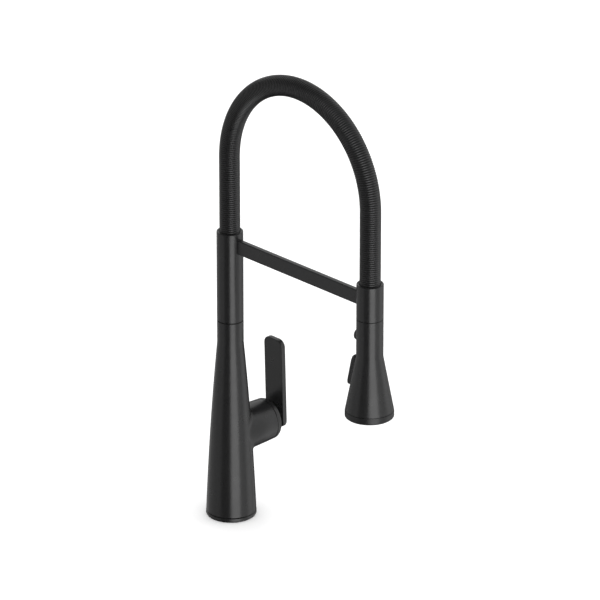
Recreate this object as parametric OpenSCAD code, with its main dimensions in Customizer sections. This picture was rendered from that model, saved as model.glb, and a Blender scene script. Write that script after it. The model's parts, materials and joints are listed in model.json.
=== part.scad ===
// Single-handle kitchen faucet with a self-supporting hose arch, a docking arm and a pull-down spray wand.
// The column stands on the Z axis and the deck is z = 0.
// The wand hangs on the +X side and the lever is on the +Y side.

/* [Body] */
// Radius of the body at the deck
base_r = 26.6; // [22:0.1:30]
// Radius of the straight column, the docking ring and the wand's barrel
col_r = 13.9; // [13.5:0.1:15]
// Height at which the flared body becomes straight
waist_z = 197; // [180:1:200]
// Share of the flare that is a straight taper, the rest is curved
flare_share = 0.566; // [0.3:0.01:1]
// Height of the seam on which the upper column turns
seam_z = 222.4; // [215:0.1:230]
// Wall of the body shell
wall = 2.4; // [2:0.1:3]

/* [Upper column, arm and dock] */
// Top of the upper column
col_top = 322.2; // [315:0.1:330]
// Distance from the column to the wand
spread = 207.4; // [180:0.1:240]
// Top of the docking ring
dock_top = 327.6; // [318:0.1:330]
// Gap line between docking ring and wand
dock_z = 289.6; // [286:0.1:295]
// Height of the arm's middle
arm_z = 308.1; // [304:0.1:310]
// Height of the arm's section
arm_h = 15.6; // [12:0.1:16]
// Thickness of the arm's section
arm_t = 6; // [4:0.1:8]

/* [Hose] */
// Outer radius of the hose
hose_r = 10.9; // [9.5:0.1:10.9]
// Height at which the hose's arch starts
arch_z = 404.6; // [380:0.1:440]

/* [Hub and lever] */
// Height of the hub's axis
hub_z = 92.8; // [85:0.1:100]
// Hub radius where it leaves the body
hub_r0 = 24.2; // [22:0.1:25]
// Hub radius at its outer end
hub_r1 = 22.2; // [20:0.1:23]
// Distance from the column axis to the hub's outer end
hub_y = 53.5; // [53:0.1:56]
// Width of the paddle
paddle_w = 27; // [20:0.5:30]
// Thickness of the paddle
paddle_t = 5.4; // [3.5:0.1:6]
// Lowest and highest points of the paddle
paddle_z0 = 80.9; // [76:0.1:84]
paddle_z1 = 182; // [150:0.1:190]
// Lean of the paddle towards the column
paddle_lean = 1.65; // [0:0.05:3]

/* [Wand] */
// Height at which the barrel starts to flare
cone_z1 = 247.6; // [240:0.1:252]
// Height at which the flare ends
cone_z0 = 189; // [185:0.1:195]
// Radius at the end of the flare
cone_r = 25; // [22:0.1:26]
// Lowest point of the nozzle ring
nozzle_z = 181.2; // [178:0.1:184]
// Height of the pause button
button_z = 266.9; // [262:0.1:267]
// Radius of the pause button
button_r = 6.2; // [5:0.1:6.4]
// Width of the rocker
rocker_w = 15; // [12:0.1:16]

/* [Hidden] */
$fn = 96;

black = [0.09, 0.09, 0.10];
soft_black = [0.06, 0.06, 0.065];
brass = [0.72, 0.58, 0.30];
steel = [0.70, 0.71, 0.73];
white_plastic = [0.85, 0.85, 0.83];
grey_plastic = [0.42, 0.43, 0.45];
ceramic = [0.93, 0.91, 0.86];

gap = 0.05;            // clearance between pieces that sit in one another
run = 0.07;            // radial clearance of a running fit
seam = 0.4;            // half of each open gap line
rim = 2;               // rounding of the column's and the docking ring's top rims
post_r = 9.8;          // swivel post inside the upper column
plug_r = col_r - wall - gap;
bore_r = 11.2;         // bore of the upper column around the hose
post_top = 267;
ledge_z = 262;         // step in the upper column that the clip holds down
cart_r = 17.3;         // cartridge housing
cart_bore = 14.2;
cart_y = 12.1;         // seat of the cartridge, measured from the column's axis
pivot_y = 42;          // lever's tilt axis
dome_r = 15.4;         // ball-shaped dome around the tilt axis
ball_y = 27;           // lever's ball end
paddle_y = 63.2;       // inner face of the paddle at its foot
screw_y = 60.5;        // grub screw in the dome's neck
insert_r = 15.7;       // thread that takes the mounting shank
foot_r = base_r - 3.2; // outside of the threaded insert
cap_y = hub_y - 6.5;   // outer end of the hub's shell, where the cap starts
screw_r = 14.4;        // circle of the screws in the spray face
bush_r = 11.95;        // outside of the hose's bush and liner
port_r = 4.5;          // threads that take the supply hoses
port_x = 7.2;
port_z = 62;
shell_r = 11.9;        // bore of the wand's barrel
tilt_x = 11.5;         // rocker's pin, measured from the wand's axis
tilt_z = 229;
spool_r = 4.3;
leg_z0 = 292.4;        // hose ends
leg_z1 = 288.5;

// Radius of the flared body at height z
function body_r(z) = z > waist_z ? col_r
  : base_r - (base_r - col_r) * (flare_share * z / waist_z + (1 - flare_share) * pow(z / waist_z, 2));

// A stretch of the body's outline, moved inwards by d
function flare_line(z0, z1, d, n = 15) =
  [for (i = [0:n]) let (z = z0 + (z1 - z0) * i / n) [body_r(z) - d, z]];

// A quarter round at an outer top corner
function top_round(r, z, c, n = 6) =
  [for (i = [0:n]) let (a = 90 * i / n) [r - c + c * cos(a), z - c + c * sin(a)]];

// A cylinder along +Y on the hub's axis
module hub_rod(y0, y1, r, r2 = undef) {
  translate([0, y0, hub_z]) rotate([-90, 0, 0])
    cylinder(h = y1 - y0, r1 = r, r2 = is_undef(r2) ? r : r2);
}

// A cylinder along X, starting x from the wand's axis on the column's side
module wand_rod(x0, x1, r, z) {
  translate([spread - x0, 0, z]) rotate([0, 90, 0]) cylinder(h = x0 - x1, r = r);
}

// A plain ring on the column's axis
module ring(z0, z1, ri, ro) {
  translate([0, 0, z0]) difference() {
    cylinder(h = z1 - z0, r = ro);
    translate([0, 0, -1]) cylinder(h = z1 - z0 + 2, r = ri);
  }
}

// A plain ring on the hub's axis
module hub_ring(y0, y1, ri, ro) {
  difference() {
    hub_rod(y0, y1, ro);
    hub_rod(y0 - 1, y1 + 1, ri);
  }
}

// An O-ring lying flat on the column's axis
module oring(z, r, c) {
  translate([0, 0, z]) rotate_extrude() translate([r, 0]) circle(r = c, $fn = 24);
}

// The same things on the wand's axis
module on_wand() {
  translate([spread, 0, 0]) children();
}

// A flat outline with round corners
module rounded_rect(w, h, c) {
  square([w - 2 * c, h], center = true);
  square([w, h - 2 * c], center = true);
  for (x = [-1, 1], y = [-1, 1])
    translate([x * (w / 2 - c), y * (h / 2 - c)]) circle(r = c, $fn = 32);
}

// ---- fixed on the deck ----

module base_gasket() {
  color(soft_black) ring(0, 1, foot_r + 2 * gap, base_r - 0.8);
}

module base_ring() {
  color(black) ring(1, 4.4, foot_r + gap, base_r);
}

module base_insert() {
  color(brass) ring(0, 16, insert_r, foot_r);
}

// The body's outside as a solid
module body_form(z0, z1) {
  rotate_extrude() polygon(concat([[0, z0]], flare_line(z0, waist_z, 0), [[col_r, z1], [0, z1]]));
}

module body_shell() {
  z1 = seam_z - seam;
  color(black) difference() {
    body_form(4.8, z1);
    rotate_extrude() polygon(concat([[0, -1], [foot_r + gap, -1], [foot_r + gap, 18]],
      flare_line(18.5, waist_z, wall), [[plug_r + gap, z1 + 1], [0, z1 + 1]]));
    hub_rod(0, 60, cart_r + gap);
  }
}

// The hub's sleeve, fused to the body's outside
module hub_shell() {
  color(black) difference() {
    hub_rod(2, cap_y, hub_r0 - 0.1, hub_r0 - (hub_r0 - hub_r1) * cap_y / hub_y);
    body_form(4.8, seam_z);
    hub_rod(0, 60, cart_r + gap);
  }
}

module valve_body() {
  color(brass) difference() {
    intersection() {
      union() {
        hub_rod(-20, 12, cart_r);
        translate([0, 0, port_z]) cylinder(h = 30, r = 14.5);
      }
      cylinder(h = 200, r = 18.2);
      translate([-20, cart_y - 40.1, 0]) cube([40, 40, 200]);
    }
    for (x = [-1, 1]) {
      translate([x * port_x, 0, port_z - 1]) cylinder(h = 13, r = port_r);
      translate([x * port_x, 0, port_z + 11]) cylinder(h = hub_z - port_z - 14, r = 2.6);
      translate([x * port_x, 0, hub_z - 4]) rotate([-90, 0, 0]) cylinder(h = 20, r = 2.6);
    }
    translate([0, 0, 101]) cylinder(h = 12, r = 5 + gap);
    translate([0, 0, hub_z + 6]) cylinder(h = 12, r = 3.5);
    translate([0, 0, hub_z + 7]) rotate([-90, 0, 0]) cylinder(h = 20, r = 2.6);
  }
}

module riser_tube() {
  color([0.72, 0.45, 0.30]) ring(101, 200, 4, 5);
}

module swivel_post() {
  color(brass) difference() {
    union() {
      translate([0, 0, waist_z + 0.5]) cylinder(h = seam_z - waist_z - 0.5, r = plug_r);
      translate([0, 0, 210]) cylinder(h = post_top - 210, r = post_r);
    }
    translate([0, 0, waist_z]) cylinder(h = 3, r = 5 + gap);
    cylinder(h = 300, r = 4);
    for (z = [232, 246]) ring(z - 1.1, z + 1.1, post_r - 2, post_r + 1);
    ring(263.6, 264.8, post_r - 1.2, post_r + 1);
  }
}

module swivel_washer() {
  color(white_plastic) ring(seam_z, seam_z + seam, post_r + run, col_r - 0.6);
}

module swivel_orings() {
  color(soft_black) for (z = [232, 246]) oring(z, post_r - 0.98, 1);
}

module retaining_clip() {
  color(steel) difference() {
    ring(263.65, 264.75, post_r - 1.15, bore_r - 0.4);
    translate([-2, -15, 263]) cube([4, 15, 3]);
  }
}

module cartridge_housing() {
  color(grey_plastic) difference() {
    hub_rod(cart_y, 33, cart_r);
    hub_rod(cart_y + 2.3, 34, cart_bore);
    for (a = [0, 120, 240]) translate([0, 0, hub_z]) rotate([0, a, 0]) translate([6.5, 11, 0])
      rotate([-90, 0, 0]) cylinder(h = 5, r = 3.2);
  }
}

module cartridge_seals() {
  color(soft_black) for (a = [0, 120, 240]) translate([0, 0, hub_z]) rotate([0, a, 0])
    translate([6.5, cart_y, 0]) rotate([-90, 0, 0]) difference() {
      cylinder(h = 2.2, r = 3.1, $fn = 32);
      translate([0, 0, -1]) cylinder(h = 5, r = 2, $fn = 32);
    }
}

module fixed_disc() {
  color(ceramic) difference() {
    hub_rod(cart_y + 2.35, 18, cart_bore - gap);
    for (a = [0, 120, 240]) translate([0, 0, hub_z]) rotate([0, a, 0]) translate([6.5, 13, 0])
      rotate([-90, 0, 0]) cylinder(h = 7, r = 2);
  }
}

module lock_ring() {
  color(brass) difference() {
    hub_ring(33.1, 39, cart_bore + 0.2, cart_r);
    for (a = [0:60:300]) translate([0, 37, hub_z]) rotate([0, a, 0]) translate([cart_r - 1, 0, 0])
      rotate([-90, 0, 0]) cylinder(h = 3, r = 1.3, $fn = 24);
  }
}

module cartridge_cap() {
  c = 3.2;
  color(black) difference() {
    union() {
      hub_rod(41, 50, cart_r);
      translate([0, 0, hub_z]) rotate([-90, 0, 0]) rotate_extrude()
        polygon(concat([[0, cap_y + seam], [hub_r1 + 0.2, cap_y + seam]],
          top_round(hub_r1, hub_y, c), [[0, hub_y]]));
    }
    hub_rod(40, hub_y - 2.2, dome_r + 0.5);
    hub_rod(50, 60, dome_r - 2.8);
  }
}

// ---- turns with the lever ----

module cartridge_rotor() {
  color(white_plastic) difference() {
    union() {
      hub_rod(30, 37, cart_bore - 0.3);
      hub_rod(36, 45.5, 10);
    }
    translate([-3.3, 29, hub_z - 8.8]) cube([6.6, 8.1, 17.6]);
    translate([-3.3, 37, hub_z - 15]) cube([6.6, 10, 30]);
    translate([-15, pivot_y, hub_z]) rotate([0, 90, 0]) cylinder(h = 30, r = 1.5);
  }
}

module lever_pin() {
  color(steel) translate([-9, pivot_y, hub_z]) rotate([0, 90, 0]) cylinder(h = 18, r = 1.5);
}

module moving_disc() {
  color(ceramic) difference() {
    hub_rod(18.05, 21.5, 8.6);
    translate([-3, 17, hub_z - 5]) cube([6, 2.5, 5]);
  }
}

module disc_carrier() {
  color(white_plastic) difference() {
    hub_rod(21.5, 29.5, 8.6);
    hub_rod(23.4, 31, 3);
  }
}

module lever_stem() {
  color(steel) difference() {
    union() {
      translate([0, ball_y, hub_z]) sphere(r = 2.8, $fn = 48);
      hub_rod(ball_y, 32, 1.8);
      translate([-3, 31, hub_z - 4]) cube([6, 19, 8]);
      hub_rod(49, paddle_y + 1.2, 4);
    }
    translate([-5, pivot_y, hub_z]) rotate([0, 90, 0]) cylinder(h = 10, r = 1.5 + run);
    translate([0, screw_y, hub_z - 6]) cylinder(h = 3, r = 2 + gap);
  }
}

module lever_dome() {
  color(black) difference() {
    union() {
      intersection() {
        translate([0, pivot_y, hub_z]) sphere(r = dome_r);
        translate([-20, pivot_y + 6.2, hub_z - 20]) cube([40, 20, 40]);
      }
      hub_rod(56, paddle_y - 0.1, 5.5);
    }
    intersection() {
      translate([0, pivot_y, hub_z]) sphere(r = dome_r - 2.9);
      translate([-20, pivot_y - 20, hub_z - 20]) cube([40, 40, 40]);
    }
    hub_rod(50, 70, 4 + gap);
    translate([0, screw_y, hub_z - 8]) cylinder(h = 6, r = 2 + gap);
  }
}

module paddle() {
  h = paddle_z1 - paddle_z0;
  color(black) difference() {
    translate([0, paddle_y, paddle_z0]) rotate([paddle_lean, 0, 0]) translate([0, paddle_t, h / 2])
      rotate([90, 0, 0]) linear_extrude(paddle_t) rounded_rect(paddle_w, h, 8);
    hub_rod(60, paddle_y + 1.3, 4 + gap);
    hub_rod(60, paddle_y - 0.05, 6);
  }
}

module set_screw() {
  color(steel) translate([0, screw_y, hub_z - 5.3]) difference() {
    cylinder(h = 2.2, r = 2);
    translate([0, 0, -1]) cylinder(h = 2.4, r = 1, $fn = 6);
  }
}

// ---- turns on the body ----

module arm_slot(x0, x1, g) {
  translate([x0, -arm_t / 2 + 1 - g, arm_z - arm_h / 2 + 1.5 - g])
    cube([x1 - x0, arm_t - 2 + 2 * g, arm_h - 3 + 2 * g]);
}

module upper_column() {
  color(black) difference() {
    rotate_extrude() polygon(concat([[post_r + run, seam_z + 2 * seam], [col_r, seam_z + 2 * seam]],
      top_round(col_r, col_top, rim), [[12, col_top], [12, col_top - 9], [bore_r, col_top - 9],
      [bore_r, ledge_z], [post_r + run, ledge_z]]));
    arm_slot(bore_r - 2, col_r + 2, gap);
  }
}

module column_bush() {
  color(soft_black) ring(col_top - 9, col_top - 0.6, hose_r + 0.1, bush_r);
}

module thrust_washer() {
  color(white_plastic) ring(ledge_z, ledge_z + 1.5, post_r + run, bore_r - gap);
}

module arm_bar() {
  color(black) {
    difference() {
      translate([0, 0, arm_z]) rotate([90, 0, 90]) linear_extrude(spread) rounded_rect(arm_t, arm_h, 1.2);
      translate([0, 0, 290]) cylinder(h = 40, r = col_r + gap / 2);
      translate([spread, 0, 290]) cylinder(h = 40, r = col_r + gap / 2);
    }
    arm_slot(bush_r + 0.3, col_r + 1, 0);
    arm_slot(spread - col_r - 1, spread - bush_r - 0.3, 0);
  }
}

module dock_ring() {
  color(black) difference() {
    on_wand() rotate_extrude() polygon(concat([[12.85, dock_z + seam], [col_r, dock_z + seam]],
      top_round(col_r, dock_top, rim), [[12, dock_top], [12, dock_top - 8], [bore_r + 0.1, dock_top - 8],
      [bore_r + 0.1, dock_z + 5.6], [12.85, dock_z + 5.6]]));
    arm_slot(spread - col_r - 2, spread - bore_r + 2, gap);
  }
}

module dock_liner() {
  color(soft_black) on_wand() ring(dock_top - 8, dock_top - 0.6, hose_r + 0.3, bush_r);
}

module dock_magnet() {
  color(steel) on_wand() ring(dock_z + 0.6, dock_z + 5.55, bore_r + 0.1, 12.8);
}

module hose_ferrule_column() {
  color(steel) difference() {
    ring(270, leg_z0 - 0.2, 7.05, bore_r - 0.3);
    ring(286, 288, bore_r - 0.8, bore_r);
  }
}

// A tube along the hose's route: leg, half-circle arch, leg
module hose_tube(ri, ro, z0, z1) {
  ring(z0, arch_z, ri, ro);
  translate([spread / 2, 0, arch_z]) rotate([90, 0, 0]) rotate_extrude(angle = 180)
    translate([spread / 2, 0]) difference() {
      circle(r = ro);
      circle(r = ri);
    }
  on_wand() ring(z1, arch_z, ri, ro);
}

module hose_core() {
  color(white_plastic) hose_tube(4.5, 7, 272, 281.2);
}

module hose_cover() {
  color(soft_black) hose_tube(7.1, hose_r, leg_z0, leg_z1);
}

// ---- slides with the hose end ----

module hose_ferrule_wand() {
  color(steel) on_wand() ring(281, leg_z1 - 0.2, 7.05, 9.6);
}

module swivel_nipple() {
  color(brass) on_wand() difference() {
    union() {
      translate([0, 0, 270.8]) cylinder(h = 9, r = 5);
      translate([0, 0, 279.3]) cylinder(h = 1.7, r = 8.6);
    }
    translate([0, 0, 269]) cylinder(h = 15, r = 3.2);
    ring(274, 276, 3.9, 6);
  }
}

module nipple_oring() {
  color(soft_black) on_wand() oring(275, 4.48, 0.55);
}

// ---- the wand ----

module wand_shell() {
  z1 = dock_z - 0.3;
  color(black) difference() {
    on_wand() rotate_extrude() polygon([[12.7, z1], [12.7, 285.4], [shell_r, 285.4], [shell_r, cone_z1 - 5],
      [cone_r - 2.2, cone_z0], [cone_r, cone_z0], [col_r, cone_z1], [col_r, z1 - 0.3], [col_r - 0.3, z1]]);
    wand_rod(16, 5, button_r + 0.2, button_z);
    translate([spread - 30, -rocker_w / 2 - 0.4, 209.4]) cube([22, rocker_w + 0.8, 38.2]);
  }
}

module keeper_ring() {
  color(steel) on_wand() ring(285.5, dock_z - 0.5, 11.3, 12.65);
}

module wand_core() {
  color(grey_plastic) difference() {
    union() {
      on_wand() translate([0, 0, 190]) cylinder(h = 88.8, r = 7.5);
      on_wand() translate([0, 0, 190.5]) cylinder(h = 3.5, r = 20.3);
      for (y = [-7.2, 5.5]) translate([spread - tilt_x - 2.6, y, tilt_z - 3])
        cube([tilt_x + 2, 1.7, 6]);
    }
    on_wand() translate([0, 0, 189]) cylinder(h = 100, r = spool_r + gap);
    on_wand() translate([0, 0, 270.5]) cylinder(h = 10, r = 5 + run);
    translate([spread - tilt_x, -10, tilt_z]) rotate([-90, 0, 0]) cylinder(h = 20, r = 1);
    translate([spread - 9, -2, tilt_z - 3.5]) cube([8, 4, 7]);
    wand_rod(10, 0, 1.7, button_z);
    wand_rod(10, 5.8, 8, button_z);
    for (a = [60, 180, 300]) on_wand() rotate([0, 0, a]) translate([screw_r, 0, 188])
      cylinder(h = 8, r = 1.1);
  }
}

module rocker_pin() {
  color(steel) translate([spread - tilt_x, -7.2, tilt_z]) rotate([-90, 0, 0]) cylinder(h = 14.4, r = 1);
}

module nozzle_ring() {
  z1 = cone_z0 - 0.4;
  n = 8;
  color(soft_black) on_wand() rotate_extrude() polygon(concat([[22, nozzle_z + 1.2], [22, z1],
    [cone_r - 0.4, z1], [cone_r + 0.3, z1 - 0.8]],
    [for (i = [0:n]) let (a = 90 * i / n) [cone_r - 1.7 + 2 * cos(a), nozzle_z + 5 - 5 * sin(a)]]));
}

// Places of the nozzle tips: an inner and an outer circle
module at_tips() {
  for (c = [[10.6, 10, 0], [18.4, 20, 9]])
    for (i = [0:c[1] - 1]) rotate([0, 0, c[2] + 360 * i / c[1]]) translate([c[0], 0, 0]) children();
}

module spray_plate() {
  color(grey_plastic) on_wand() difference() {
    translate([0, 0, 184.2]) cylinder(h = 4, r = 21.9);
    translate([0, 0, 180]) cylinder(h = 10, r = 7.2);
    translate([0, 0, 183]) at_tips() cylinder(h = 6, r = 0.95, $fn = 24);
    for (a = [60, 180, 300]) rotate([0, 0, a]) translate([screw_r, 0, 183]) {
      cylinder(h = 6, r = 1.2);
      cylinder(h = 2.2, r = 2.1);
    }
  }
}

module nozzle_tips() {
  color(soft_black) on_wand() translate([0, 0, 183.3]) at_tips() cylinder(h = 4.9, r = 0.9, $fn = 16);
}

module aerator() {
  color(grey_plastic) on_wand() difference() {
    translate([0, 0, 183.2]) cylinder(h = 6.7, r = 7.1);
    for (a = [0:60:300]) rotate([0, 0, a]) translate([4, 0, 182]) cylinder(h = 9, r = 1.3, $fn = 24);
    translate([0, 0, 182]) cylinder(h = 9, r = 1.3, $fn = 24);
  }
}

module face_screws() {
  color(steel) on_wand() for (a = [60, 180, 300]) rotate([0, 0, a]) translate([screw_r, 0, 183.6])
    difference() {
      union() {
        cylinder(h = 1.5, r = 2, $fn = 32);
        cylinder(h = 9.5, r = 1, $fn = 32);
      }
      translate([-1.4, -0.25, -1]) cube([2.8, 0.5, 1.6]);
      translate([-0.25, -1.4, -1]) cube([0.5, 2.8, 1.6]);
    }
}

module face_seal() {
  color(soft_black) on_wand() ring(188.25, 190.4, 17.6, 20.2);
}

module rocker() {
  color(black) difference() {
    union() {
      translate([spread, rocker_w / 2, 0]) rotate([90, 0, 0]) linear_extrude(rocker_w)
        polygon([[-15, 246.6], [-17.8, 244.4], [-20, 239.4], [-25.3, 216], [-25.4, 213], [-24.6, 211.4],
        [-19.6, 211], [-17.4, 214], [-13.6, 240], [-13, 246.2]]);
      translate([spread - 17.5, -5.2, tilt_z - 3]) cube([8, 10.4, 6]);
      translate([spread - 10, -1.4, tilt_z - 0.9]) cube([7.4, 2.8, 1.8]);
    }
    translate([spread - tilt_x, -10, tilt_z]) rotate([-90, 0, 0]) cylinder(h = 20, r = 1 + run);
  }
}

module diverter_spool() {
  color(white_plastic) on_wand() difference() {
    translate([0, 0, 214]) cylinder(h = 28, r = spool_r);
    translate([0, 0, 213]) cylinder(h = 12, r = 2.4);
    translate([-6, -2, tilt_z - 1.1]) cube([5, 4, 2.2]);
    for (z = [218, 238]) ring(z - 0.8, z + 0.8, spool_r - 1.1, spool_r + 1);
  }
}

module spool_orings() {
  color(soft_black) on_wand() for (z = [218, 238]) oring(z, spool_r - 0.53, 0.55);
}

module pause_button() {
  x1 = col_r + 3.9;
  c = 0.7;
  color(black) difference() {
    union() {
      wand_rod(x1 - c, 8.2, button_r, button_z);
      translate([spread - x1 + c, 0, button_z]) rotate([0, -90, 0])
        cylinder(h = c, r1 = button_r, r2 = button_r - c);
      wand_rod(9.2, 8, 7.1, button_z);
    }
    wand_rod(9.5, 7.5, 1.6, button_z);
  }
}

module pause_stem() {
  color(steel) wand_rod(9.4, 4.6, 1.6, button_z);
}

module button_spring() {
  color(steel) difference() {
    wand_rod(7.95, 5.85, 5.2, button_z);
    wand_rod(9, 5, 3.8, button_z);
  }
}

base_gasket();
base_ring();
base_insert();
body_shell();
hub_shell();
valve_body();
riser_tube();
swivel_post();
swivel_washer();
swivel_orings();
retaining_clip();
cartridge_housing();
cartridge_seals();
fixed_disc();
lock_ring();
cartridge_cap();
cartridge_rotor();
lever_pin();
moving_disc();
disc_carrier();
lever_stem();
lever_dome();
paddle();
set_screw();
upper_column();
column_bush();
thrust_washer();
arm_bar();
dock_ring();
dock_liner();
dock_magnet();
hose_ferrule_column();
hose_core();
hose_cover();
hose_ferrule_wand();
swivel_nipple();
nipple_oring();
wand_shell();
keeper_ring();
wand_core();
rocker_pin();
nozzle_ring();
spray_plate();
nozzle_tips();
aerator();
face_screws();
face_seal();
rocker();
diverter_spool();
spool_orings();
pause_button();
pause_stem();
button_spring();
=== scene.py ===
"""Looks for a single-handle kitchen faucet with a hose arch, a docking arm and a pull-down spray wand.

All shapes are worked out in millimetres in the row frame and scaled to metres when a mesh is made.
"""
import json
import math

import bmesh
import bpy
import numpy as np
from mathutils import Matrix, Vector


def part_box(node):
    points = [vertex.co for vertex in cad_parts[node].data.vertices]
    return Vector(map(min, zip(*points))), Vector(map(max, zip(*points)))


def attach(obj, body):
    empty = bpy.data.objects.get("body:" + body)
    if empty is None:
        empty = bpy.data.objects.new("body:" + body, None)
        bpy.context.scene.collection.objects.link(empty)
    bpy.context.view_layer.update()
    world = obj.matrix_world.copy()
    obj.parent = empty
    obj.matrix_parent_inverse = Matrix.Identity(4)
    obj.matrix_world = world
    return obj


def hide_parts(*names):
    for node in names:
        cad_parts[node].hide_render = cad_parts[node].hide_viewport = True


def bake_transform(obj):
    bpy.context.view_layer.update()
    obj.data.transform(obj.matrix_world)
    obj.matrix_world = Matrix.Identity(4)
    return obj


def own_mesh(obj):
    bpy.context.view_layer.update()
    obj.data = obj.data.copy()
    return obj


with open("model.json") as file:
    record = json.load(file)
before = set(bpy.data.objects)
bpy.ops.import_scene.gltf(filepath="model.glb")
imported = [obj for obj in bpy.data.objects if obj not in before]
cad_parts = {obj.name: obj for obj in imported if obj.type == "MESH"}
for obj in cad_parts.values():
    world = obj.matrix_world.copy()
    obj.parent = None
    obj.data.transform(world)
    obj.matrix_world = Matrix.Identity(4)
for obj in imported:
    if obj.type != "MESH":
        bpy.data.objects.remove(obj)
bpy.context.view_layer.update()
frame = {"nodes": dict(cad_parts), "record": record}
MM = 0.001


# ---- sizes, read from the frame ----

def lo(node, axis):
    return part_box(node)[0][axis] / MM


def hi(node, axis):
    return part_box(node)[1][axis] / MM


COL_R = hi("upper_column", 1)
COL_TOP = hi("upper_column", 2)
SEAM_TOP = lo("upper_column", 2)
BODY_TOP = hi("body_shell", 2)
BODY_FOOT = lo("body_shell", 2)
BASE_R = hi("base_ring", 0)
SPREAD = (lo("dock_ring", 0) + hi("dock_ring", 0)) / 2
DOCK_TOP, DOCK_FOOT = hi("dock_ring", 2), lo("dock_ring", 2)
WAND_TOP, CONE_Z0 = hi("wand_shell", 2), lo("wand_shell", 2)
CONE_R = hi("wand_shell", 1)
HUB_Z = (lo("cartridge_cap", 2) + hi("cartridge_cap", 2)) / 2
HUB_Y = hi("cartridge_cap", 1)
HUB_R1 = (hi("cartridge_cap", 2) - lo("cartridge_cap", 2)) / 2
HUB_SEAM = hi("hub_shell", 1)
HOSE_R = hi("hose_cover", 1)
HOSE_FOOT = lo("hose_cover", 2)
BUTTON_Z = (lo("pause_button", 2) + hi("pause_button", 2)) / 2
BUTTON_OUT = SPREAD - lo("pause_button", 0)
ARCH_R = SPREAD / 2
ARCH_Z = hi("hose_cover", 2) - HOSE_R - ARCH_R

# These lie inside the CAD shapes, where no box corner gives them.
HUB_R0 = 24.2       # hub radius where it leaves the body
WAIST_Z = 197.0     # the flare ends here
FLARE_SHARE = 0.566  # straight part of the flare
CONE_Z1 = 247.6     # the wand's flare starts here
LEG_Z0 = 292.4      # column end of the hose
PIVOT_Y = 42.0      # lever's tilt axis
PADDLE_Y = 63.2     # the paddle's side towards the column, at its foot
DOME_R = 15.4
BUTTON_R = 6.2
PADDLE_Z0, PADDLE_H, PADDLE_LEAN = 80.9, 101.1, 1.65
ARM_Z, ARM_H, ARM_T = 308.1, 15.6, 6.0


# ---- materials ----

def material(name, colours, metallic, rough, bumps, specular=0.5, tint=1.0, mottle=400.0):
    """A procedural finish: colour drifts between two shades, roughness drifts too, and bumps are (scale, depth)."""
    m = bpy.data.materials.new(name)
    m.use_nodes = True
    tree = m.node_tree
    nodes, links = tree.nodes, tree.links
    shader = nodes["Principled BSDF"]
    shader.inputs["Metallic"].default_value = metallic
    shader.inputs["Specular IOR Level"].default_value = specular
    shader.inputs["Specular Tint"].default_value = (tint, tint, tint, 1)
    place = nodes.new("ShaderNodeTexCoord").outputs["Object"]

    def noise(scale, detail=3.0):
        n = nodes.new("ShaderNodeTexNoise")
        n.inputs["Scale"].default_value = scale
        n.inputs["Detail"].default_value = detail
        links.new(place, n.inputs["Vector"])
        return n.outputs["Fac"]

    cloud = noise(mottle)
    ramp = nodes.new("ShaderNodeValToRGB")
    ramp.color_ramp.elements[0].position, ramp.color_ramp.elements[1].position = 0.35, 0.65
    ramp.color_ramp.elements[0].color = (*colours[0], 1)
    ramp.color_ramp.elements[1].color = (*colours[1], 1)
    links.new(cloud, ramp.inputs["Fac"])
    links.new(ramp.outputs["Color"], shader.inputs["Base Color"])
    span = nodes.new("ShaderNodeMapRange")
    span.inputs["From Min"].default_value, span.inputs["From Max"].default_value = 0.3, 0.7
    span.inputs["To Min"].default_value, span.inputs["To Max"].default_value = rough
    links.new(noise(mottle * 0.2, 2.0), span.inputs["Value"])
    links.new(span.outputs["Result"], shader.inputs["Roughness"])
    normal = None
    for scale, depth in bumps:
        bump = nodes.new("ShaderNodeBump")
        bump.inputs["Strength"].default_value = 1.0
        bump.inputs["Distance"].default_value = depth * MM
        links.new(noise(scale, 2.0), bump.inputs["Height"])
        if normal is not None:
            links.new(normal, bump.inputs["Normal"])
        normal = bump.outputs["Normal"]
    if normal is not None:
        links.new(normal, shader.inputs["Normal"])
    return m


def grey(a, b):
    return [(a, a, a * 1.03), (b, b, b * 1.03)]


SATIN = material("satin_black", grey(0.0095, 0.0115), 0.0, (0.27, 0.32), [(2600, 0.003)])
RUBBER = material("black_rubber", grey(0.009, 0.012), 0.0, (0.31, 0.38), [(3200, 0.005)], specular=0.52)
PLASTIC = material("black_plastic", grey(0.009, 0.012), 0.0, (0.30, 0.36), [(2200, 0.004)], specular=0.4)
FINISH = {
    "satin_black": SATIN,
    "black_rubber": RUBBER,
    "black_plastic": PLASTIC,
    "brass": material("machined_brass", [(0.62, 0.44, 0.18), (0.72, 0.53, 0.24)], 1.0, (0.22, 0.34),
                      [(1500, 0.004)]),
    "copper": material("drawn_copper", [(0.68, 0.33, 0.20), (0.76, 0.42, 0.27)], 1.0, (0.20, 0.32),
                       [(1200, 0.004)]),
    "steel": material("plain_steel", grey(0.52, 0.62), 1.0, (0.20, 0.32), [(1800, 0.003)]),
    "white_plastic": material("acetal_white", grey(0.74, 0.82), 0.0, (0.38, 0.48), [(1600, 0.004)]),
    "grey_plastic": material("moulded_grey", grey(0.055, 0.075), 0.0, (0.42, 0.52), [(1900, 0.006)]),
    "ceramic": material("lapped_ceramic", [(0.84, 0.81, 0.75), (0.90, 0.88, 0.83)], 0.0, (0.12, 0.20),
                        [(2400, 0.002)]),
}


# ---- mesh tools ----

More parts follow.
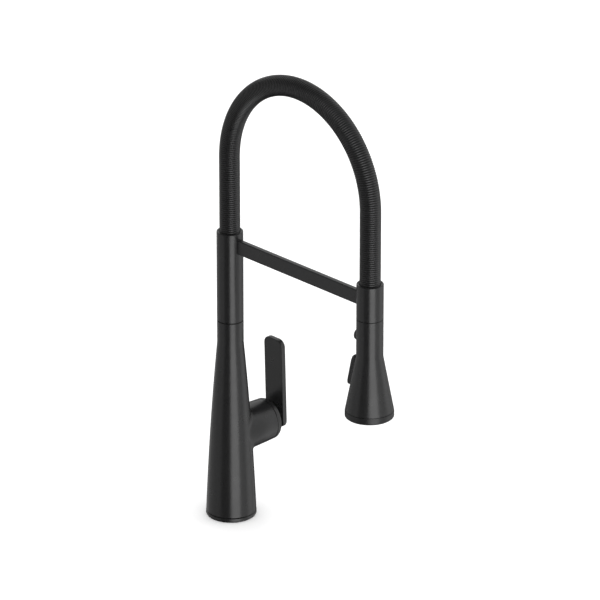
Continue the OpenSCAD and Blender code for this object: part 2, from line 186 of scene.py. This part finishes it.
def piece(name, verts, faces, body, slot, replaces=(), sharp=35):
    """Makes a smooth-shaded mesh object from points in millimetres and puts it on its body."""
    mesh = bpy.data.meshes.new(name)
    mesh.from_pydata([tuple(c * MM for c in v) for v in verts], [], faces)
    bm = bmesh.new()
    bm.from_mesh(mesh)
    bmesh.ops.remove_doubles(bm, verts=bm.verts, dist=1e-7)
    bmesh.ops.recalc_face_normals(bm, faces=bm.faces)
    limit = math.radians(sharp)
    for f in bm.faces:
        f.smooth = True
    for e in bm.edges:
        e.smooth = len(e.link_faces) != 2 or e.calc_face_angle(0) < limit
    bm.to_mesh(mesh)
    bm.free()
    obj = bpy.data.objects.new(name, mesh)
    bpy.context.scene.collection.objects.link(obj)
    mesh.materials.append(FINISH[slot])
    if body:
        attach(obj, body)
    if replaces:
        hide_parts(*replaces)
    return obj


def filleted(points, n=5):
    """A closed outline of (x, y) or (x, y, radius) corners, with arcs and a support point beyond each arc."""
    out = []
    count = len(points)
    for i, p in enumerate(points):
        here = Vector(p[:2])
        c = p[2] if len(p) > 2 else 0
        if not c:
            out.append(tuple(here))
            continue
        to_a = Vector(points[i - 1][:2]) - here
        to_b = Vector(points[(i + 1) % count][:2]) - here
        half = to_a.angle(to_b) / 2
        t = min(c / math.tan(half), 0.45 * to_a.length, 0.45 * to_b.length)
        c = t * math.tan(half)
        a, b = to_a.normalized(), to_b.normalized()
        centre = here + (a + b).normalized() * (c / math.sin(half))
        start, end = here + a * t - centre, here + b * t - centre
        turn = start.angle_signed(end)
        pad = 0.12 * c + 0.05
        out.append(tuple(here + a * (t + pad)))
        for k in range(n + 1):
            w = -turn * k / n
            cs, sn = math.cos(w), math.sin(w)
            out.append((centre.x + start.x * cs - start.y * sn, centre.y + start.x * sn + start.y * cs))
        out.append(tuple(here + b * (t + pad)))
    return out


def lathe(outline, n=160, closed=True):
    """Turns an outline of (radius, height) round the Z axis."""
    verts, faces, rows = [], [], []
    for r, z in outline:
        if r < 1e-6:
            rows.append([len(verts)] * n)
            verts.append((0, 0, z))
        else:
            rows.append(list(range(len(verts), len(verts) + n)))
            for k in range(n):
                w = 2 * math.pi * k / n
                verts.append((r * math.cos(w), r * math.sin(w), z))
    last = len(rows) if closed else len(rows) - 1
    for j in range(last):
        a, b = rows[j], rows[(j + 1) % len(rows)]
        for k in range(n):
            m = (k + 1) % n
            quad = list(dict.fromkeys([a[k], a[m], b[m], b[k]]))
            if len(quad) > 2:
                faces.append(quad)
    return verts, faces


def bands(count, m):
    """The quads between count + 1 rings of m points each, numbered one ring after the other."""
    return [[j * m + k, j * m + (k + 1) % m, (j + 1) * m + (k + 1) % m, (j + 1) * m + k]
            for j in range(count) for k in range(m)]


def moved(shape, matrix):
    verts, faces = shape
    return [tuple(matrix @ Vector(v)) for v in verts], faces


def joined(shapes):
    verts, faces = [], []
    for v, f in shapes:
        base = len(verts)
        verts += v
        faces += [[base + i for i in q] for q in f]
    return verts, faces


def prism(outline, t0, t1, bevel, n=4):
    """Extrudes a closed outline from t0 to t1 with rounded edges; the outline is inset along its own normals."""
    pts = np.array(outline, float)
    nxt, prv = np.roll(pts, -1, 0) - pts, pts - np.roll(pts, 1, 0)
    nxt /= np.linalg.norm(nxt, axis=1)[:, None]
    prv /= np.linalg.norm(prv, axis=1)[:, None]
    area = np.sum(pts[:, 0] * np.roll(pts[:, 1], -1) - np.roll(pts[:, 0], -1) * pts[:, 1])
    side = 1 if area > 0 else -1
    inward = side * np.stack([-(nxt + prv)[:, 1], (nxt + prv)[:, 0]], 1)
    inward /= np.linalg.norm(inward, axis=1)[:, None]
    rings = [(bevel * 1.35, t0)]
    for k in range(n + 1):
        w = math.pi / 2 * k / n
        rings.append((bevel * (1 - math.sin(w)), t0 + bevel * (1 - math.cos(w))))
    rings.append((0, t0 + bevel * 1.35))
    rings += [(c, t0 + t1 - t) for c, t in reversed(rings)]
    verts, m = [], len(pts)
    for c, t in rings:
        verts += [(x, y, t) for x, y in pts + inward * c]
    faces = bands(len(rings) - 1, m)
    faces.append(list(range(m)))
    faces.append(list(range((len(rings) - 1) * m, len(rings) * m)))
    return verts, faces


ON_WAND = Matrix.Translation((SPREAD, 0, 0))
ON_HUB = Matrix.Translation((0, 0, HUB_Z)) @ Matrix.Rotation(-math.pi / 2, 4, "X")
TO_COLUMN = Matrix.Rotation(-math.pi / 2, 4, "Y")   # a lathe's Z axis turned to point along -X
SIDE_ON_WAND = Matrix(((1, 0, 0, SPREAD), (0, 0, 1, 0), (0, 1, 0, 0), (0, 0, 0, 1)))   # an outline drawn in X and Z


# ---- body with its hub ----

ROUNDS = 60   # steps in which the fillet's lift settles

def body_r(z):
    s = np.minimum(z / WAIST_Z, 1)
    return BASE_R - (BASE_R - COL_R) * (FLARE_SHARE * s + (1 - FLARE_SHARE) * s * s)


def smooth(t):
    t = np.clip(t, 0, 1)
    return t * t * (3 - 2 * t)


def hub_r(turn, y):
    """Hub radius at an angle from the top: the sides draw in a little where they run into the body."""
    return HUB_R0 + (HUB_R1 - HUB_R0) * y / HUB_Y - 3.2 * np.sin(turn) ** 4 * (1 - smooth(y / 35))


def fillet_k(turn):
    return 2.8 - 2.1 * np.sin(turn) ** 4


def blend_off(gap, k):
    """How far the fillet lifts one surface at a distance gap from the other."""
    d = np.clip(k - gap, 0, k)
    return k - np.sqrt(k * k - d * d)


def column_points(phi, z):
    """Points on the body, lifted where the fillet to the hub runs over them."""
    lift = np.zeros_like(z)
    for _ in range(ROUNDS):
        r = body_r(z) + lift
        x, y = r * np.cos(phi), r * np.sin(phi)
        turn = np.arctan2(x, z - HUB_Z)
        away = np.hypot(x, z - HUB_Z) - hub_r(turn, y)
        lift = 0.5 * lift + 0.5 * blend_off(away, fillet_k(turn))
    r = body_r(z) + lift
    return np.stack([r * np.cos(phi), r * np.sin(phi), z], -1)


def hub_points(turn, y):
    """Points on the hub, lifted where the fillet to the body runs over them."""
    lift = np.zeros_like(y)
    for _ in range(ROUNDS):
        r = hub_r(turn, y) + lift
        x, z = r * np.sin(turn), HUB_Z + r * np.cos(turn)
        away = np.hypot(x, y) - body_r(z)
        lift = 0.5 * lift + 0.5 * blend_off(away, fillet_k(turn))
    r = hub_r(turn, y) + lift
    return np.stack([r * np.sin(turn), y, HUB_Z + r * np.cos(turn)], -1)


def body_shape():
    """A turned body with a window in its grid, from whose border the fillet and the hub are carried outwards."""
    n = 160
    step = 2 * math.pi / n
    i0, i1 = 2, 78          # the window's first and last columns
    half_window = 31        # and its half height
    zs = list(np.linspace(BODY_FOOT + 0.9, BODY_TOP - 0.6, 109))
    top = [(COL_R, BODY_TOP - 0.2), (COL_R - 0.05, BODY_TOP - 0.06), (COL_R - 0.2, BODY_TOP),
           (COL_R - 2.35, BODY_TOP)]
    r0 = float(body_r(BODY_FOOT))
    foot = [(r0 - 2.8, BODY_FOOT), (r0 - 0.6, BODY_FOOT), (r0 - 0.2, BODY_FOOT + 0.15), (r0, BODY_FOOT + 0.6)]
    rows = foot + [(float(body_r(z)), z) for z in zs] + top
    verts, faces = lathe(rows, n, closed=False)
    first = len(foot)
    j0 = first + int(np.argmin(np.abs(np.array(zs) - (HUB_Z - half_window))))
    j1 = first + int(np.argmin(np.abs(np.array(zs) - (HUB_Z + half_window))))
    hole = set()
    for j in range(j0, j1):
        for i in range(i0, i1):
            hole.add((j, i))
    faces = [f for q, f in enumerate(faces) if (q // n, q % n) not in hole]
    border = [(j1, i) for i in range(i0, i1)] + [(j, i1) for j in range(j1, j0, -1)]
    border += [(j0, i) for i in range(i1, i0, -1)] + [(j, i0) for j in range(j0, j1)]
    ring = [j * n + i for j, i in border]
    phi_b = np.array([i * step for _, i in border])
    z_b = np.array([rows[j][1] for j, _ in border])
    width = 21.8 * 0.86     # body radius at the hub, drawn in so that the border's corners get fair shares
    turn = np.arctan2(-(phi_b - math.pi / 2) * width, z_b - HUB_Z)
    k = fillet_k(turn)
    e = k * (1 - math.sqrt(0.5))
    y = np.full_like(turn, 12.0)
    for _ in range(ROUNDS):
        r = hub_r(turn, y) + e
        reach = (body_r(HUB_Z + r * np.cos(turn)) + e) ** 2 - (r * np.sin(turn)) ** 2
        y = 0.5 * y + 0.5 * np.sqrt(np.maximum(reach, 1))
    r = hub_r(turn, y) + e
    phi_p, z_p = np.arctan2(y, r * np.sin(turn)), HUB_Z + r * np.cos(turn)
    loops = [ring]
    for t in (np.linspace(1, 0, 15) ** 1.5)[1:]:
        pts = column_points(phi_p + (phi_b - phi_p) * t, z_p + (z_b - z_p) * t)
        loops.append(list(range(len(verts), len(verts) + len(pts))))
        verts += [tuple(p) for p in pts]
    end = HUB_SEAM - 0.5
    for t in (np.linspace(0, 1, 22) ** 1.6)[1:]:
        pts = hub_points(turn, y + (end - y) * t)
        loops.append(list(range(len(verts), len(verts) + len(pts))))
        verts += [tuple(p) for p in pts]
    r_end = hub_r(turn, np.full_like(turn, end))
    for dy, c in ((0.12, 0), (0.35, 0.12), (0.5, 0.4), (0.5, 1.0), (0.5, 3.4)):
        loops.append(list(range(len(verts), len(verts) + len(turn))))
        r = r_end - c
        verts += list(zip(r * np.sin(turn), np.full_like(turn, end + dy), HUB_Z + r * np.cos(turn)))
    for a, b in zip(loops, loops[1:]):
        m = len(a)
        faces += [[a[q], a[(q + 1) % m], b[(q + 1) % m], b[q]] for q in range(m)]
    return verts, faces


piece("body_skin", *body_shape(), "base", "satin_black", ["body_shell", "hub_shell"])
ring_foot, ring_top, ring_in = lo("base_ring", 2), hi("base_ring", 2), 23.2
lip = [(ring_in, ring_foot, 0.2), (BASE_R, ring_foot, 0.5), (BASE_R, ring_top, 0.7), (ring_in, ring_top, 0.2)]
piece("base_lip", *lathe(filleted(lip)), "base", "satin_black", ["base_ring"])
cap = [(17.3, 41, 0.3), (17.3, HUB_SEAM + 0.4, 0.1), (HUB_R1 + 0.15, HUB_SEAM + 0.4, 0.4), (HUB_R1, HUB_Y, 3.2),
       (DOME_R - 2.8, HUB_Y, 0.5), (DOME_R - 2.8, HUB_Y - 2.2, 0.3), (DOME_R + 0.5, HUB_Y - 2.2, 0.3),
       (DOME_R + 0.5, 41, 0.2)]
piece("hub_cap", *moved(lathe(filleted(cap, 8)), ON_HUB), "base", "satin_black", ["cartridge_cap"])


# ---- lever ----

NECK_END = 63.1
dome = [(5.5, NECK_END), (5.5, 58.2), (6.2, 57.0)]
for w in np.linspace(math.radians(64), math.radians(24), 15):
    dome.append((DOME_R * math.cos(w), PIVOT_Y + DOME_R * math.sin(w)))
dome += [(12.5, 48.3), (12.5, 50), (4.05, 52), (4.05, NECK_END)]
piece("lever_cap", *moved(lathe(dome), ON_HUB), "lever", "satin_black", ["lever_dome"])

half_w = hi("paddle", 0)
PADDLE_T, corner = 5.4, 8
flat = [(-half_w, 0, corner), (half_w, 0, corner), (half_w, PADDLE_H, corner), (-half_w, PADDLE_H, corner)]
lean = Matrix.Translation((0, PADDLE_Y, PADDLE_Z0)) @ Matrix.Rotation(math.radians(PADDLE_LEAN), 4, "X")
stand = lean @ Matrix.Translation((0, PADDLE_T, 0)) @ Matrix.Rotation(math.pi / 2, 4, "X")
plate = prism(filleted(flat, 10), 0, PADDLE_T, 0.7)
piece("lever_paddle", *moved(plate, stand), "lever", "satin_black", ["paddle"])


# ---- turning column, arm and dock ----

upper = [(9.9, SEAM_TOP, 0.1), (COL_R, SEAM_TOP, 0.18), (COL_R, COL_TOP, 2), (12, COL_TOP, 0.3), (12, COL_TOP - 9),
         (11.2, COL_TOP - 9), (11.2, 262), (9.9, 262)]
piece("column_skin", *lathe(filleted(upper, 7)), "spout", "satin_black", ["upper_column"])
dock = [(12.85, DOCK_FOOT, 0.1), (COL_R, DOCK_FOOT - 0.25, 0.15), (COL_R, DOCK_TOP, 2), (12, DOCK_TOP, 0.3),
        (12, DOCK_TOP - 8), (11.3, DOCK_TOP - 8), (11.3, DOCK_FOOT + 5.2), (12.85, DOCK_FOOT + 5.2)]
piece("dock_skin", *moved(lathe(filleted(dock, 7)), ON_WAND), "spout", "satin_black", ["dock_ring"])


def arm_shape():
    """The bar's section is carried from collar to collar; its ends follow the collars' round walls."""
    section = filleted([(-ARM_T / 2, -ARM_H / 2, 1.2), (ARM_T / 2, -ARM_H / 2, 1.2), (ARM_T / 2, ARM_H / 2, 1.2),
                        (-ARM_T / 2, ARM_H / 2, 1.2)], 6)
    m, spans = len(section), 4
    verts = []
    for t in np.linspace(0, 1, spans + 1):
        for y, z in section:
            dip = math.sqrt((COL_R - 0.15) ** 2 - y * y)
            verts.append((dip + (SPREAD - 2 * dip) * t, y, ARM_Z + z))
    return verts, bands(spans, m) + [list(range(m)), list(range(spans * m, (spans + 1) * m))]


piece("arm_skin", *arm_shape(), "spout", "satin_black", ["arm_bar"])


# ---- hose ----

def route(start, end, step):
    """Rows of x, z and turn, up the column leg, over the arch and down the wand leg."""
    up, over, down = ARCH_Z - start, math.pi * ARCH_R, ARCH_Z - end
    total = up + over + down
    count = int(round(total / step))
    rows = []
    for i in range(count + 1):
        s = total * i / count
        if s <= up:
            rows.append((0, start + s, 0))
        elif s < up + over:
            w = (s - up) / ARCH_R
            rows.append((ARCH_R - ARCH_R * math.cos(w), ARCH_Z + ARCH_R * math.sin(w), w))
        else:
            rows.append((SPREAD, ARCH_Z - (s - up - over), math.pi))
    return rows


def tube(rows, radii, inner, n):
    """A tube along the route, with flat rings at its ends; w is how far the route has turned over."""
    verts = []
    rows = [rows[0]] + rows + [rows[-1]]
    radii = [inner] + list(radii) + [inner]
    for (x, z, w), r in zip(rows, radii):
        for k in range(n):
            q = 2 * math.pi * k / n
            out, side = r * math.cos(q), r * math.sin(q)
            verts.append((x - out * math.cos(w), side, z + out * math.sin(w)))
    return verts, bands(len(rows) - 1, n)


def hose():
    pitch, per = 2.3, 5     # rib pitch, and rings in each rib
    rows = route(LEG_Z0, HOSE_FOOT, pitch / per)
    dip = [0.65, 0.12, 0.0, 0.0, 0.12]
    made = piece("hose_ribbed", *tube(rows, [HOSE_R - dip[i % per] for i in range(len(rows))], 7.1, 56),
                 None, "black_rubber", ["hose_cover"], sharp=80)
    rows = route(272, 281.2, 5)
    radii = [7.0] * (len(rows) + 1)     # one more than the rows, so the wand end stays open
    lining = piece("hose_lining", *tube(rows, radii, 4.5, 32), None, "white_plastic", ["hose_core"])
    for obj in (made, lining):
        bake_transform(obj)


hose()


# ---- wand ----

def cone_wall(z):
    return COL_R if z > CONE_Z1 else COL_R + (CONE_R - COL_R) * (CONE_Z1 - z) / (CONE_Z1 - CONE_Z0)


def cut(obj, tools):
    """Takes the tools' shapes out of obj's mesh and removes the tools."""
    for i, t in enumerate(tools):
        mod = obj.modifiers.new(f"cut{i}", "BOOLEAN")
        mod.operation, mod.solver, mod.object = "DIFFERENCE", "EXACT", t
    graph = bpy.context.evaluated_depsgraph_get()
    mesh = bpy.data.meshes.new_from_object(obj.evaluated_get(graph))
    obj.modifiers.clear()
    obj.data = mesh
    for t in tools:
        bpy.data.objects.remove(t)


def tool(shape):
    """A bare mesh object to cut with."""
    mesh = bpy.data.meshes.new("tool")
    mesh.from_pydata([tuple(c * MM for c in v) for v in shape[0]], [], shape[1])
    bm = bmesh.new()
    bm.from_mesh(mesh)
    bmesh.ops.recalc_face_normals(bm, faces=bm.faces)
    bm.to_mesh(mesh)
    bm.free()
    obj = bpy.data.objects.new("tool", mesh)
    bpy.context.scene.collection.objects.link(obj)
    return obj


def densified(outline, step):
    out = []
    for a, b in zip(outline, outline[1:] + outline[:1]):
        m = max(1, int(math.dist(a, b) / step))
        out += [(a[0] + (b[0] - a[0]) * k / m, a[1] + (b[1] - a[1]) * k / m) for k in range(m)]
    return out


def wand():
    """The wand's turned shell with the button's hole and the rocker's slot cut out of it."""
    wall = [(12.7, 285.4), (12.7, WAND_TOP, 0.1), (COL_R, WAND_TOP, 0.15), (COL_R, CONE_Z1, 10),
            (CONE_R, CONE_Z0, 0.2), (CONE_R - 2.2, CONE_Z0, 0.2), (11.9, CONE_Z1 - 5, 6), (11.9, 285.4)]
    shell = piece("wand_skin", *moved(lathe(densified(filleted(wall, 8), 4), 192), ON_WAND), None, "satin_black")
    hole = tool(moved(lathe([(0, 5), (BUTTON_R + 0.2, 5), (BUTTON_R + 0.2, 20), (0, 20)], 96, False),
                      Matrix.Translation((SPREAD, 0, BUTTON_Z)) @ TO_COLUMN))
    slot_w, x0 = 7.9, SPREAD - 30
    corners = ((x0, -slot_w), (x0 + 22, -slot_w), (x0 + 22, slot_w), (x0, slot_w))
    box = [(x, y, z) for z in (209.4, 247.6) for x, y in corners]
    slot = tool((box, [[0, 1, 2, 3], [4, 5, 6, 7], [0, 1, 5, 4], [1, 2, 6, 5], [2, 3, 7, 6], [3, 0, 4, 7]]))
    cut(shell, [hole, slot])
    settle_normals(shell)
    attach(shell, "wand")
    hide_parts("wand_shell")


def settle_normals(obj):
    """Gives the wand's round walls their true normals, so that the cut edges leave no mark on the shading."""
    mesh = obj.data
    for p in mesh.polygons:
        p.use_smooth = True
    slope = (CONE_R - COL_R) / (CONE_Z1 - CONE_Z0)
    given = []
    for p in mesh.polygons:
        flat_n = p.normal
        for vi in p.vertices:
            co = mesh.vertices[vi].co / MM
            d = Vector((co.x - SPREAD, co.y, 0))
            r = d.length
            d.normalize()
            blend = min(max((CONE_Z1 - co.z + 2.2) / 4.4, 0), 1)
            n = (d + Vector((0, 0, slope * blend))).normalized()
            if abs(r - cone_wall(co.z)) < 0.5 and n.dot(flat_n) > 0.9:
                given.append(tuple(n))
            else:
                given.append(tuple(flat_n))
    mesh.normals_split_custom_set(given)


wand()
nozzle_foot = lo("nozzle_ring", 2)
collar = [(22, CONE_Z0 - 0.3, 0.1), (CONE_R, CONE_Z0 - 0.3, 0.2), (CONE_R + 0.3, CONE_Z0 - 1.4, 0.3),
          (CONE_R + 0.3, nozzle_foot, 3.8), (22, nozzle_foot + 0.2, 0.6)]
piece("nozzle_collar", *moved(lathe(filleted(collar, 9)), ON_WAND), "wand", "black_plastic", ["nozzle_ring"])


def tips():
    """Soft conical nozzles round two circles, each with a bore."""
    side = [(0, 186), (0.9, 186), (0.9, 184.2), (0.85, 183.5), (0.65, 183.3), (0.38, 183.35), (0.35, 184.4),
            (0, 184.5)]
    nub = lathe(side, 20, False)
    made = []
    for r, count, turn in ((10.6, 10, 0), (18.4, 20, 9)):
        for i in range(count):
            w = math.radians(turn) + 2 * math.pi * i / count
            made.append(moved(nub, Matrix.Translation((SPREAD + r * math.cos(w), r * math.sin(w), 0))))
    return joined(made)


piece("spray_nubs", *tips(), "wand", "black_rubber", ["nozzle_tips"])


# ---- rocker and button ----

outline = [(-15, 246.6, 1), (-17.8, 244.4, 1.5), (-20, 239.4, 4), (-25.3, 216, 1.5), (-25.4, 213, 1),
           (-24.6, 211.4, 0.6), (-19.6, 211, 0.8), (-17.4, 214, 1), (-13.6, 240), (-13, 246.2, 0.6)]
boss_outline = [(-17.5, 226, 0.3), (-9.5, 226, 0.3), (-9.5, 232, 0.3), (-17.5, 232, 0.3)]
rock_w = hi("rocker", 1)
pad = moved(prism(filleted(outline), -rock_w, rock_w, 0.8), SIDE_ON_WAND)
boss = moved(prism(filleted(boss_outline), -5.2, 5.2, 0.3), SIDE_ON_WAND)
piece("rocker_pad", *joined([pad, boss]), "rocker", "satin_black", ["rocker"])

knob = [(0, 0), (4.0, 0.02), (5.0, 0.06), (5.5, 0.15), (5.85, 0.35), (6.1, 0.65), (BUTTON_R, 1.0)]
knob = [(r, BUTTON_OUT - depth) for r, depth in knob] + [(BUTTON_R, 9.2), (7.1, 9.2), (7.1, 8), (0, 8)]
piece("pause_knob", *moved(lathe(knob, 96, False), Matrix.Translation((SPREAD, 0, BUTTON_Z)) @ TO_COLUMN), "button",
      "satin_black", ["pause_button"])


def spring():
    """A short coil behind the button."""
    turns, n, wire, r = 2.5, 90, 0.35, 4.5
    verts, m = [], 10
    for i in range(n + 1):
        w = 2 * math.pi * turns * i / n
        x = SPREAD - 7.6 + 1.4 * i / n
        for k in range(m):
            q = 2 * math.pi * k / m
            rr = r + wire * math.cos(q)
            verts.append((x + wire * math.sin(q), rr * math.cos(w), BUTTON_Z + rr * math.sin(w)))
    return verts, bands(n, m) + [list(range(m)), list(range(n * m, (n + 1) * m))]


coil = piece("button_coil", *spring(), "wand", "steel", ["button_spring"])
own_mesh(coil)


# ---- carried-over CAD nodes ----

for row in frame["record"]["subparts"]:
    obj = frame["nodes"][row["node"]]
    if not obj.hide_render:
        obj.data.materials.clear()
        obj.data.materials.append(FINISH[row["material_slot"]])


# ---- floor, light and camera ----

floor_mesh = bpy.data.meshes.new("floor")
floor_mesh.from_pydata([(-30, -30, 0), (30, -30, 0), (30, 30, 0), (-30, 30, 0)], [], [[0, 1, 2, 3]])
floor = bpy.data.objects.new("floor", floor_mesh)
floor.location.z = -0.0002
bpy.context.scene.collection.objects.link(floor)
white = bpy.data.materials.new("floor_white")
white.use_nodes = True
white.node_tree.nodes["Principled BSDF"].inputs["Base Color"].default_value = (0.92, 0.92, 0.92, 1)
white.node_tree.nodes["Principled BSDF"].inputs["Roughness"].default_value = 0.9
white.node_tree.nodes["Principled BSDF"].inputs["Specular IOR Level"].default_value = 0.0
floor_mesh.materials.append(white)

AZ, EL, DIST = math.radians(46.407), math.radians(23.697), 5783.6
CENTRE = Vector((103.7, 0, 259.4))
BACK = Vector((math.sin(AZ) * math.cos(EL), -math.cos(AZ) * math.cos(EL), math.sin(EL)))
RIGHT = Vector((math.cos(AZ), math.sin(AZ), 0))
UP = BACK.cross(RIGHT)

cam = bpy.data.objects.new("camera", bpy.data.cameras.new("camera"))
cam.data.lens, cam.data.sensor_width = 338.8, 36
cam.location = (CENTRE + BACK * DIST) * MM
look = (CENTRE + RIGHT * 0.89 + UP * 15.89) * MM - cam.location
cam.rotation_mode = "QUATERNION"
cam.rotation_quaternion = look.to_track_quat("-Z", "Y")
cam.data.clip_start, cam.data.clip_end = 0.1, 100
bpy.context.scene.collection.objects.link(cam)
bpy.context.scene.camera = cam

world = bpy.data.worlds.new("studio")
bpy.context.scene.world = world
world.use_nodes = True
world.node_tree.nodes["Background"].inputs["Color"].default_value = (1, 1, 1, 1)
world.node_tree.nodes["Background"].inputs["Strength"].default_value = 1.1


def softbox(turn, low, high, width, glow, away=2.5):
    """An area light turned from the camera's side by an angle, between two heights, that glows evenly."""
    data = bpy.data.lights.new("softbox", "AREA")
    data.shape = "RECTANGLE"
    data.size, data.size_y = width, high - low
    data.energy = glow * math.pi * width * (high - low)
    light = bpy.data.objects.new("softbox", data)
    a = AZ + math.radians(turn)
    middle = 0.1            # the lights stand round this point on the X axis
    light.location = (middle + away * math.sin(a), -away * math.cos(a), (low + high) / 2)
    light.rotation_mode = "QUATERNION"
    aim = Vector((middle - light.location.x, -light.location.y, 0))
    light.rotation_quaternion = aim.to_track_quat("-Z", "Y")
    light.visible_camera = False
    bpy.context.scene.collection.objects.link(light)


PANELS = (   # turn, low, high, width, glow
    (21, -1.8, 1.2, 2.05, 3.1),      # the bright band right of the middle
    (60, -1.8, 1.2, 1.3, 0.85),
    (96, -3.4, 3.0, 1.6, 1.05),      # the hub's side
    (132, -3.4, 2.2, 1.6, 0.5),
    (-68, -1.8, 1.2, 1.5, 0.4),      # the even grey left of the middle
    (-104, -1.8, 1.6, 1.6, 0.42),
    (-142, -1.8, 3.0, 1.6, 0.5),
    (180, 0.3, 3.6, 3.0, 0.8))       # the tops of arch, arm and hub
for panel in PANELS:
    softbox(*panel)
floor.visible_glossy = False
world.cycles_visibility.glossy = False

bpy.context.scene.view_settings.view_transform = "Standard"
